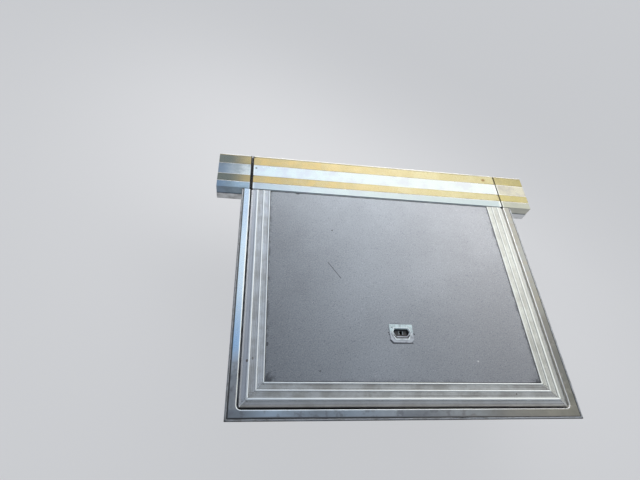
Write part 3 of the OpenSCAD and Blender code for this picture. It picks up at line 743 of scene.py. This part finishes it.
def sill_strips(name, grain_colour, pale, dark, wear, grubby):
    """Grit strips of the sill: tan dirt in patches, a thin line of dirt along their edges, where they meet
    the lips, and round the joints at their ends, a film that is thickest away from the joint, partly dirt
    and partly painted shade, painted shade that darkens them towards the left and towards the right, and one
    rust spot. Dark marks at the joints and a black line at the left joint are painted shade of the joint."""
    made, shader, place, colour, grain = grit(name, grain_colour, pale, dark, wear)
    in_inner = grit_low.y + strip_in_w - place.y
    in_outer = place.y - (grit_high.y - strip_out_w)
    nearest = smallest(place.y - grit_low.y, grit_high.y - place.y, abs(in_inner), abs(in_outer))
    patchy = grime(place, Size=0.03, Level=0.46, Softness=0.14)
    edge_line = eased(nearest, 0.0022, 0.0006) * between(patchy, 0.35, 0.9)
    from_joint = abs(place.x) - sill_high.x
    cut_end = eased(abs(from_joint), 0.0045, 0.0015)
    tanned = grime(place, Size=0.045, Level=0.50, Softness=0.12)
    tanned = between(tanned, 0.35, 0.75) * eased(place.x, 0.15, -0.42)
    colour = over(tanned, colour, (0.80, 0.60, 0.25))
    at_left = eased(place.x, 0.1, -0.1)
    # Partly dirt, partly painted shade: a dark film on the left end, thickest away from the joint, and a
    # darkening of all the strips towards the left.
    film = eased(from_joint, -0.010, 0.085, 0.42 * grubby, grubby) * at_left
    film = largest(film, eased(place.x, -0.05, -0.46, 0.0, 0.20))
    colour = over(film, colour, (0.155, 0.18, 0.17))
    # Painted shade: the strips are darkened towards the right.
    colour = over(eased(place.x, 0.05, 0.36, 0.0, 0.24), colour, (0.36, 0.34, 0.16))
    away = eased(in_outer, -0.002, 0.002, 0.10, 0.26) * (1.0 - at_left) * grubby
    # Painted shade: dark marks at the strip ends by the joints, and lines along the right joint, stand in
    # for the shade in the joint and in the notches at the strip corners.
    spot = marks(place,
                 [((-0.450, 0.4885), (-0.4445, 0.4885), 0.0070, 0.95),
                  ((-0.450, 0.4055), (-0.445, 0.4055), 0.0070, 0.95),
                  ((0.450, 0.4055), (0.4455, 0.4055), 0.0070, 0.95),
                  ((0.4495, 0.377), (0.4495, 0.406), 0.0040, 0.9),
                  ((0.4495, 0.456), (0.4495, 0.489), 0.0034, 0.8)])
    dirt = largest(edge_line, cut_end * 0.5, away * between(patchy, 0.6, 1.0), spot)
    colour = over(dirt, colour, (0.15, 0.13, 0.08))
    rusty = marks(place, [((0.4055, 0.4715), (0.4085, 0.4725), 0.0135, 0.85)])
    colour = over(rusty, colour, (0.22, 0.12, 0.045))
    # Painted shade: a black line widens the left joint across the strips.
    joint_shade_line = eased(abs(from_joint - 0.002), 0.0055, 0.0047)
    colour = over(joint_shade_line * at_left, colour, (0.02, 0.02, 0.022))
    return rough_coat((made, shader, place, colour, grain))


end_strips = sill_strips("yellow grit of the ends", (0.62, 0.53, 0.22), (0.72, 0.64, 0.37),
                         (0.30, 0.26, 0.12), wear=0.04, grubby=1.0)
dressed("sill_end_grit", end_strips, 0.0003)

# Joint seals. A strip of black rubber is glued to the cut face of each sill end, so that no daylight
# or splash water comes up through the joint beside the moving sill.
seal_w = 0.0028
seal_top = sill_high.z - 0.0040
seal_foot = seal_top - 0.014
seal_edge = 0.0005
seal_y = (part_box("sill_end_left")[0].y + 0.004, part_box("sill_end_left")[1].y - 0.005)
seal_x = (sill_high.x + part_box("sill_end_right")[0].x) / 2
seal_middle = sum(seal_y) / 2
seal_outline = np.array([(-1, -1), (1, -1), (1, 1), (-1, 1)]) * (seal_w / 2, (seal_y[1] - seal_y[0]) / 2)
seal_rows = [(0.0, seal_foot), (1.0, seal_foot), (1.0, seal_top - seal_edge), (0.85, seal_top),
             (0.0, seal_top)]
seal_grid = boss(seal_outline, seal_rows)
seal_places = [(-seal_x, seal_middle, 0.0), (seal_x, seal_middle, 0.0)]
new_piece("joint_seals", *woven(seal_grid, seal_places), rubber, "seal_rubber", "tray")

# Core of the plate. A film-faced plywood board takes the load between the edge profiles. Its dark film shows
# in the joint at the sill, and round the pull cup its milled edge is painted dark as well, as painted shade
# in the pocket.
core_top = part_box("plate_core")[1].z
cup_low, cup_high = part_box("pull_cup")
cup_middle = (cup_low + cup_high) / 2
board, shader, place = material("core board")
grain = drawn_lines(place, Waves=(12.0, 420.0, 900.0))
filmed = eased(place.z, core_top - 0.0005, core_top - 0.0001)
film_and_pocket_shade = largest(filmed, eased(vectors("DISTANCE", place, cup_middle), 0.040, 0.030))
wood = over(eased(grain, 0.35, 0.65), (0.50, 0.36, 0.21), (0.30, 0.20, 0.11))
finish(shader, colour=over(film_and_pocket_shade, wood, (0.012, 0.011, 0.010)), rough=spread(grain, 0.55, 0.75),
       height=grain)
dressed("plate_core", board)

# Edge profiles. Three lengths of hollow aluminium extrusion frame the plate and meet in mitres.
# Shoes keep the tops of the ribs bright, and the bands between them are dull with trodden dirt.
left_low, left_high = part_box("edge_left")
plate_half_w = -left_low.x
plate_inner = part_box("edge_inner")[0].y
edge_w = left_high.x - left_low.x
rib_top = left_high.z
rib_h = 0.0016

# Distance of a point from the plate's nearest edge, and from the nearest mitre, from its X and Y.
plate_edge, taken, given = group("plate edge", {"Place": ORIGIN}, ["From edge", "From mitre"])
place = taken["Place"]
from_side = plate_half_w - abs(place.x)
from_inner = place.y - plate_inner
from_mitre = abs(from_side - from_inner) * math.sqrt(0.5)
feed(given, {"From edge": smallest(from_side, from_inner), "From mitre": from_mitre})

# Crowned ribs: how far a normal leans towards the plate's edge, from 1 at a rib's outer side to -1 at
# its inner side.
crowned, taken, given = group("crowned ribs", {"From edge": 0.0}, ["Lean"])
lean = 0.0
for centre, width in ((0.020, 0.0068), (0.041, 0.0052), (0.060, 0.0046)):
    way = (centre - taken["From edge"]) / (width / 2)
    lean = lean + way * (abs(way) < 1.0)
feed(given, {"Lean": lean})

seam_y = left_high.y
flute_pitch = 0.0052
lengthwise = (1500.0, 5.0, 1500.0)
crosswise = (5.0, 1500.0, 1500.0)


def edge_profile(name, edgeward, waves, clean, stained, pale, grubby, nose_grubby, nose_pale, far_grubby=0.0,
                 rib_bright=1.0):
    """Ribbed extrusion: bright crowned rib tops over dull, finely fluted bands, as grubby as the side they
    lie on. The flutes follow the cosine of the distance from the edge. The outermost band has a bright saw
    cut at its mitre and a share of pale oxide, and its rounded nose is lightened further, partly as oxide
    and partly as painted light. A painted highlight runs along the nose, and the side wall under the nose
    and the end at the sill are painted dark as shade. Edgeward is the way to the plate's edge, far_grubby
    the dirt that is added towards the inner end, and rib_bright how bright the rib tops are."""
    made, shader, place = material(name)
    from_edge, from_mitre = plate_edge(place)
    lines = drawn_lines(place, Waves=waves)
    streaks = drawn_lines(place, Waves=tuple(0.22 * w for w in waves))
    stain = grime(place, Size=0.05, Level=0.50, Softness=0.14)
    specks = grime(place, Size=0.0045, Level=0.60, Softness=0.05)
    crumbs = grime(place, Size=0.008, Level=0.70, Softness=0.03)
    hairlines = scuffs(place, Size=0.03, Width=0.006, Level=0.5)
    flutes = maths("COSINE", from_edge * math.tau / flute_pitch)
    rib = eased(place.z, rib_top - rib_h * 0.90, rib_top - rib_h * 0.25)
    band = 1.0 - rib
    nose = eased(from_edge, 0.009, 0.004)
    # Painted highlight: a bright line along the rounded nose.
    nose_highlight = eased(abs(from_edge - 0.0030), 0.0013, 0.0006, 0.0, 0.25)
    mitred = eased(from_mitre, 0.0011, 0.0005) * eased(from_edge, 0.018, 0.016)
    corner = eased(from_mitre, 0.015, 0.001)
    dirt = eased(streaks, 0.35, 0.65, 0.05, 0.40) + eased(flutes, 1.0, -1.0, 0.0, 0.16)
    oxide = eased(from_edge, 0.018, 0.015) * nose_pale * band
    dirt = (dirt + stain * 0.22) * between(oxide, grubby, 0.4 * grubby)
    dirt = dirt + eased(place.y, 0.03, -0.20, 0.0, far_grubby) + nose * nose_grubby
    dirt = dirt + specks * between(corner, 0.10, 0.75)
    dirt = dirt * (band - largest(nose_highlight, mitred)) + crumbs * grubby * 0.35
    seam = eased(from_mitre, 0.0006, 0.0002) * eased(from_edge, 0.016, 0.018)
    spots = marks(place,
                  [((0.302, -0.308), (0.303, -0.307), 0.006, 0.9),
                   ((-0.434, -0.225), (-0.434, -0.223), 0.007, 0.9),
                   ((-0.420, -0.219), (-0.420, -0.216), 0.006, 0.8)])
    # Painted shade: the end beside the sill, and the side wall below the nose in the gap, are painted dark.
    sill_joint_shade = eased(place.y, seam_y - 0.0022, seam_y - 0.0008) * 0.85
    side_wall_shade = eased(place.z, rib_top - 0.0040, rib_top - 0.0050)
    dirt = smallest(largest(dirt, seam * 0.6, spots, sill_joint_shade, side_wall_shade, 0.0), 0.92)
    metal = over(stain * 0.6, clean, stained)
    metal = over(oxide, metal, pale)
    # The rounded nose is lightened towards the pale tone, partly as oxide and partly as painted light.
    nose_oxide_and_light = eased(from_edge, 0.0070, 0.0045) * nose_pale
    metal = over(nose_oxide_and_light, metal, pale)
    worn = largest(rib, nose_highlight * (1.0 - nose_pale), mitred)
    uneven = eased(streaks, 0.30, 0.62, 0.80 * rib_bright, rib_bright)
    metal = over(worn * uneven, metal, (0.96, 0.97, 0.97))
    metal = over(hairlines * 0.4, metal, (0.92, 0.93, 0.94))
    lean = crowned(from_edge) * rib * 0.24 - nose_oxide_and_light * 0.7
    leaning = add(place.tree, "VectorTransform", {0: vectors("SCALE", edgeward, lean)}, vector_type="VECTOR",
                  convert_from="OBJECT", convert_to="WORLD")[0]
    upright = add(place.tree, "NewGeometry")["Normal"]
    normal = vectors("NORMALIZE", vectors("ADD", upright, leaning))
    finish(shader, colour=over(dirt, metal, (0.17, 0.155, 0.14)), metal=0.85 - largest(dirt, oxide) * 0.7,
           rough=spread(lines, 0.28, 0.42) + dirt * 0.35, height=lines * 0.45 + flutes * 0.25,
           relief=0.00012, normal=normal)
    return made


left_profile = edge_profile("left profile", (-1.0, 0.0, 0.0), lengthwise, clean=(0.74, 0.77, 0.82),
                            stained=(0.60, 0.61, 0.62), pale=(0.64, 0.69, 0.77), grubby=0.70,
                            nose_grubby=0.30, nose_pale=0.9)
right_profile = edge_profile("right profile", (1.0, 0.0, 0.0), lengthwise, clean=(0.80, 0.81, 0.77),
                             stained=(0.66, 0.65, 0.61), pale=(0.53, 0.54, 0.51), grubby=0.55,
                             nose_grubby=0.0, nose_pale=0.8, far_grubby=0.14, rib_bright=0.50)
inner_profile = edge_profile("inner profile", (0.0, -1.0, 0.0), crosswise, clean=(0.64, 0.66, 0.68),
                             stained=(0.54, 0.54, 0.53), pale=(0.70, 0.71, 0.72), grubby=0.95,
                             nose_grubby=0.55, nose_pale=0.65)
dressed("edge_left", left_profile, 0.0004)
dressed("edge_right", right_profile, 0.0004)
dressed("edge_inner", inner_profile, 0.0004)

# Floor covering. A sheet of blue-grey vinyl with darker and paler chips in it is bonded into the frame. Dirt
# has gathered along its edges and in the two inner corners, and a few marks stay on it. It also carries
# painted light and shade: warmer towards the right, darker towards the inner left corner, dark lines in the
# gaps at its edges, and the pull cup's shadow.
field_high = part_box("floor_covering")[1]

# Chips: a share of the cells of a size, each a spot of its own width. Its tone is a random number.
chips, taken, given = group("chips", {"Place": ORIGIN, "Size": 0.002, "Share": 0.3}, ["Mask", "Tone"])
cells = add(given.id_data, "TexVoronoi", {"Vector": taken["Place"], "Scale": 1.0 / taken["Size"]})
random = cells["Color"]
reach = 0.22 + random.y * 0.25
spot = eased(cells["Distance"], reach, reach * 0.7)
feed(given, {"Mask": (random.x < taken["Share"]) * spot, "Tone": random.z})

vinyl, shader, place = material("floor vinyl")
from_edge, from_mitre = plate_edge(place)
mottle = noise(place, 320.0, 3.0)
base = over(spread(mottle, 0.0, 1.0), (0.30, 0.335, 0.385), (0.43, 0.46, 0.50))
# Painted light: the vinyl is tinted warmer towards the right, where the daylight falls.
base = over(eased(place.x, -0.15, 0.38, 0.0, 0.25), base, (0.33, 0.28, 0.25))
chip_dark = (0.13, 0.145, 0.18)
chip_pale = (0.62, 0.65, 0.69)
for size, share, strength, low, high in ((0.0017, 0.42, 0.55, 0.42, 0.58), (0.0034, 0.34, 0.60, 0.50, 0.64)):
    mask, tone = chips(place, Size=size, Share=share)
    base = over(mask * strength, base, over(eased(tone, low, high), chip_dark, chip_pale))
clouds = grime(place, Size=0.22, Level=0.50, Softness=0.16)
patches = grime(place, Size=0.035, Level=0.52, Softness=0.12)
from_border = from_edge - edge_w
fringe = eased(from_border, 0.016, 0.0) * between(patches, 0.12, 0.70)
fringe = fringe * eased(place.y, -0.20, -0.26, 1.0, 0.45)
in_corner = eased(from_mitre, 0.030, 0.004) * eased(from_border, 0.028, 0.002)
fringe = largest(fringe, in_corner * eased(patches, 0.2, 0.8, 0.35, 0.85))
# Painted shade: dark lines where the covering stops short of the frame and of the sill, standing in for the
# shade in those gaps.
joint_gap_shade = eased(place.y, field_high.y - 0.0046, field_high.y - 0.0030)
wider = eased(place.x, 0.340, 0.375, 0.0, 0.0014)
line = largest(eased(from_border - wider, 0.0022, 0.0004), joint_gap_shade)
marks_and_cup_shadow = marks(place,
               [((-0.206, 0.082), (-0.169, 0.029), 0.0026, 0.85),
                ((-0.187, 0.201), (-0.1865, 0.2015), 0.006, 0.85),
                ((-0.2435, -0.250), (-0.2420, -0.249), 0.006, 0.6),
                ((-0.384, -0.274), (-0.372, -0.273), 0.008, 0.8),
                ((-0.3835, -0.182), (-0.3830, -0.176), 0.008, 0.8),
                ((-0.0423, -0.1391), (-0.0423, -0.1385), 0.0045, 0.8),
                # Painted shadow of the pull cup: a dark line under its lower edge and a faint one along its
                # upper edge.
                ((-0.0395, -0.1612), (-0.0326, -0.1700), 0.0042, 0.9),
                ((-0.0326, -0.1700), (0.0262, -0.1688), 0.0042, 0.9),
                ((-0.0338, -0.1105), (-0.0052, -0.1106), 0.0030, 0.4),
                ((-0.0407, -0.1449), (-0.0407, -0.1445), 0.0040, 0.8),
                ((0.0329, -0.1414), (0.0335, -0.1424), 0.0055, 0.9),
                ((-0.2985, 0.3440), (-0.2945, 0.3440), 0.0125, 0.95),
                ((-0.3870, 0.3450), (-0.3840, 0.3430), 0.0100, 0.95),
                ((0.3870, 0.3460), (0.3840, 0.3440), 0.0080, 0.9)])
whitened = marks(place, [((0.2115, -0.218), (0.2120, -0.218), 0.006, 0.8)])
smudges = grime(place, Size=0.012, Level=0.70, Softness=0.03)
# Painted shade: the covering is darkened towards the inner left corner.
painted_corner_shade = eased(place.x, -0.10, -0.38) * eased(place.y, 0.35, -0.25, 0.12, 0.26)
dirt = largest(fringe, line * 0.97, clouds * 0.13 + painted_corner_shade, smudges * 0.35, marks_and_cup_shadow)
colour = over(dirt, base, (0.035, 0.036, 0.042))
colour = over(whitened, colour, (0.75, 0.76, 0.76))
pressed = noise(place, 55.0, 2.0)
finish(shader, colour=colour, rough=spread(mottle, 0.46, 0.62), height=mottle * 0.5 + pressed * 0.8,
       relief=0.00016)
dressed("floor_covering", vinyl, 0.0006)

# Moving sill. A hollow aluminium extrusion ends the plate, carries its knuckles underneath and holds
# two grit strips in grooves on top. Everyone steps on it, so it is the brightest piece.
sill_metal = sill_finish("sill extrusion", (0.83, 0.89, 0.87), (0.78, 0.79, 0.86),
                         inner_tone_and_reflection=(0.60, 0.67, 0.70), film=0.06, speckled=0.45)
dressed("ramp_sill", sill_metal, 0.0005)
moving_strips = sill_strips("yellow grit", (0.585, 0.51, 0.275), (0.74, 0.70, 0.48), (0.36, 0.30, 0.16),
                            wear=0.06, grubby=0.0)
dressed("ramp_sill_grit", moving_strips, 0.0003)

# Sill screw. A small countersunk steel screw with a cross recess holds the sill to the plug in its
# left end. It is turned down flush, and a little rust has stained it.
screw_r = 0.0036
sill_face = core_top + 0.0035
screw_place = (-0.438, 0.441, sill_face)
screw_steel, shader, place = material("screw steel")
turned = noise(place, 700.0, 2.0)
finish(shader, colour=over(eased(turned, 0.35, 0.7), (0.42, 0.44, 0.47), (0.20, 0.17, 0.14)), metal=0.85,
       rough=spread(turned, 0.34, 0.55), height=turned, relief=0.00008)


def cross_recess(radius, count=32):
    """Outline of a cross-shaped recess: a circle whose radius swells at each quarter turn."""
    return ring(radius * (0.35 + 0.65 * np.abs(np.cos(2.0 * turns(count))) ** 3), count)


def screw_head(radius, depth=0.0006, count=32):
    """A flat countersunk head: a rim that rises from its seat, a flat face and a cross recess in its
    middle."""
    rim = ring(radius, count)
    recess = cross_recess(0.6 * radius, count)
    rows = [(0.0 * rim, -depth), (rim, -depth), (rim, 0.0002), (0.92 * rim, 0.0004), (recess * 1.08, 0.0004),
            (recess, 0.0002), (recess * 0.7, -depth * 0.7), (0.0 * rim, -depth * 0.8)]
    return np.stack([np.concatenate([flat, np.full((count, 1), z)], axis=-1) for flat, z in rows])


new_piece("sill_screw", *woven(screw_head(screw_r), [screw_place]), screw_steel, "pin_steel", "ramp")

# Pull cup. A zinc casting sits in the covering with its face plate proud by its own thickness. A
# finger or a hook's toe goes through the six-sided mouth, under the lip or into the key hole.
slot_y = -0.1375
zinc, shader, place = material("cast zinc")
cast = noise(place, 800.0, 4.0)
tarnish = grime(place, Size=0.012, Level=0.54, Softness=0.10)
# Painted shade and highlight: inside the mouth, below the covering, the cast is painted near-black, and it
# is lifted along the crests beside the key hole as a painted highlight.
painted_mouth_shade = eased(place.z, field_high.z + 0.0008, field_high.z - 0.0015)
beside_slot = abs(place.x - cup_middle.x)
along_slot = abs(place.y - slot_y)
painted_crest_highlight = eased(abs(beside_slot - 0.0055), 0.0016, 0.0007) * eased(along_slot, 0.0060, 0.0040) * painted_mouth_shade
raised = eased(place.z, cup_high.z - 0.0010, cup_high.z - 0.0002)
outer_half = eased(place.y, cup_middle.y - 0.006, cup_middle.y + 0.010)
metal = over(outer_half, (0.52, 0.54, 0.60), (0.66, 0.76, 0.80))
metal = over(raised, metal, (0.80, 0.85, 0.88))
# Painted shadow: dark lines inside the lower flanks of the six-sided ring, with one dark spot near its upper
# left.
spot_and_ring_shadow = marks(place,
               [((-0.0324, -0.1235), (-0.0320, -0.1235), 0.0042, 0.7),
                ((-0.0275, -0.1455), (-0.0190, -0.1540), 0.0040, 1.0),
                ((-0.0190, -0.1540), (0.0125, -0.1534), 0.0034, 1.0),
                ((0.0125, -0.1534), (0.0185, -0.1470), 0.0040, 1.0)])
dirt = largest(tarnish * 0.30, painted_mouth_shade * 0.93 - painted_crest_highlight * 0.55, spot_and_ring_shadow)
finish(shader, colour=over(dirt, metal, (0.055, 0.05, 0.05)), metal=0.85 - dirt * 0.7,
       rough=spread(cast, 0.38, 0.52) + dirt * 0.3, height=cast, relief=0.00008)
dressed("pull_cup", zinc, 0.0003)

# Underside of the plate, the side that is walked on when the ramp is out. A sheet coated with black
# grit covers the board, and bands of yellow anti-slip film mark the ramp's edges.
black_grit = rough_coat(grit("black grit", (0.045, 0.045, 0.050), (0.16, 0.16, 0.165), (0.012, 0.012, 0.013),
                             wear=0.02, grain_size=0.0013))
dressed("underside_tread", black_grit, 0.0004)
yellow_film = rough_coat(grit("yellow film", (0.78, 0.54, 0.07), (0.86, 0.64, 0.16), (0.30, 0.20, 0.05),
                              wear=0.0, grain_size=0.0009))
dressed("underside_bands", yellow_film, 0.0002)

# Underside screws. Countersunk steel screws hold the coated sheet to the board, in a row along each
# of its sides.
under_low, under_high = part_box("underside_tread")
under_screw_r = 0.0048
under_in = 0.014
under_x = np.linspace(under_low.x + under_in, under_high.x - under_in, 7)
under_y = np.linspace(under_low.y + under_in, under_high.y - under_in, 6)
under_places = [(x, y, under_low.z) for x in under_x for y in (under_y[0], under_y[-1])]
under_places += [(x, y, under_low.z) for x in (under_x[0], under_x[-1]) for y in under_y[1:-1]]
under_heads = screw_head(under_screw_r) * (1.0, 1.0, -1.0)
new_piece("underside_screws", *woven(under_heads, under_places), screw_steel, "pin_steel", "ramp")

# Hinge. Flanged plastic bushes line the plate's knuckles, and one ground pin runs through all of the
# knuckles and is kept by a ring in a groove near each end.
bush_plastic, shader, place = material("bush plastic")
worn = grime(place, Size=0.006, Level=0.55, Softness=0.08)
finish(shader, colour=over(worn * 0.5, (0.72, 0.70, 0.62), (0.25, 0.22, 0.17)),
       rough=between(worn, 0.35, 0.6), height=worn, relief=0.00005)
dressed("hinge_bushes", bush_plastic, 0.0002)
pin_steel, shader, place = material("pin steel")
turned = drawn_lines(place, Waves=(2600.0, 60.0, 60.0))
stain = grime(place, Size=0.01, Level=0.60, Softness=0.06)
finish(shader, colour=over(stain * 0.6, (0.62, 0.63, 0.65), (0.20, 0.14, 0.09)), metal=1.0 - stain * 0.5,
       rough=spread(turned, 0.18, 0.30), height=turned, relief=0.00004)
dressed("hinge_pin", pin_steel, 0.0003)
dressed("pin_clips", pin_steel, 0.0002)

# Floor of the studio. It lies where the open ramp comes to rest. It is pale to the camera, takes a
# soft shadow and doesn't show from below.
ground = -0.286
ground_half = 14.0
floor_paint, shader, place = material("studio floor")
tree = place.tree
rays = add(tree, "LightPath")
seen = largest(rays["Is Camera Ray"], rays["Is Glossy Ray"])
feed(shader, {"Base Color": (0.16, 0.16, 0.165), "Roughness": 0.9, "Emission Color": (0.64, 0.65, 0.67),
              "Emission Strength": seen * 0.85})
from_below = add(tree, "NewGeometry")["Backfacing"]
unseen = add(tree, "BsdfTransparent")[0]
shown = add(tree, "MixShader", {0: from_below, 1: Signal(shader.outputs[0]), 2: unseen})[0]
feed(tree.nodes["Material Output"], {"Surface": shown})
floor_mesh = bpy.data.meshes.new("studio_floor")
corners = np.array([(-1, -1, 0), (1, -1, 0), (1, 1, 0), (-1, 1, 0)]) * ground_half + (0, 0, ground)
floor_mesh.from_pydata(corners.tolist(), [], [(0, 1, 2, 3)])
floor_mesh.materials.append(floor_paint)
floor = bpy.data.objects.new("studio_floor", floor_mesh)
scene.collection.objects.link(floor)

# Light. Daylight comes in over the sill from the outer right and falls off across the plate, with a
# faint bluish fill from the inner left. Metal mirrors the world, which is bright only to the outside.


def panel(name, place, aim, width, depth, watts, colour):
    """A rectangular soft light at a place, aimed at a point. It isn't mirrored in metal."""
    lamp = bpy.data.lights.new(name, "AREA")
    lamp.shape = "RECTANGLE"
    lamp.size = width
    lamp.size_y = depth
    lamp.energy = watts
    lamp.color = colour
    made = bpy.data.objects.new(name, lamp)
    made.location = place
    made.rotation_mode = "QUATERNION"
    made.rotation_quaternion = (Vector(aim) - Vector(place)).to_track_quat("-Z", "Y")
    made.visible_glossy = False
    scene.collection.objects.link(made)


panel("daylight", (0.0, 0.79, 0.66), (-0.30, 0.36, 0.06), 2.1, 0.3, 17.2, (1.0, 0.98, 0.95))
panel("fill", (-1.1, -1.3, 1.9), (0.0, 0.0, 0.06), 1.6, 1.2, 2.5, (0.82, 0.92, 1.0))
world = bpy.data.worlds.new("pale sky")
world.use_nodes = True
tree = world.node_tree
heading = add(tree, "TexCoord")["Generated"]
rays = add(tree, "LightPath")
outward = vectors("DOT_PRODUCT", heading, (0.55, 0.70, 0.45))
bright = over(eased(heading.x, -0.05, 0.30), (0.94, 1.12, 1.34), (1.18, 1.21, 1.15))
inside = over(eased(outward, 0.20, -0.10), (0.19, 0.24, 0.31), (0.50, 0.53, 0.57))
mirrored = over(eased(outward, 0.54, 0.82), inside, bright)
sky = over(rays["Is Glossy Ray"], (0.085, 0.105, 0.14), mirrored)
sky = over(rays["Is Camera Ray"], sky, (0.74, 0.76, 0.79))
feed(tree.nodes["Background"], {"Color": sky, "Strength": 1.0})
scene.world = world
scene.view_settings.view_transform = "Standard"
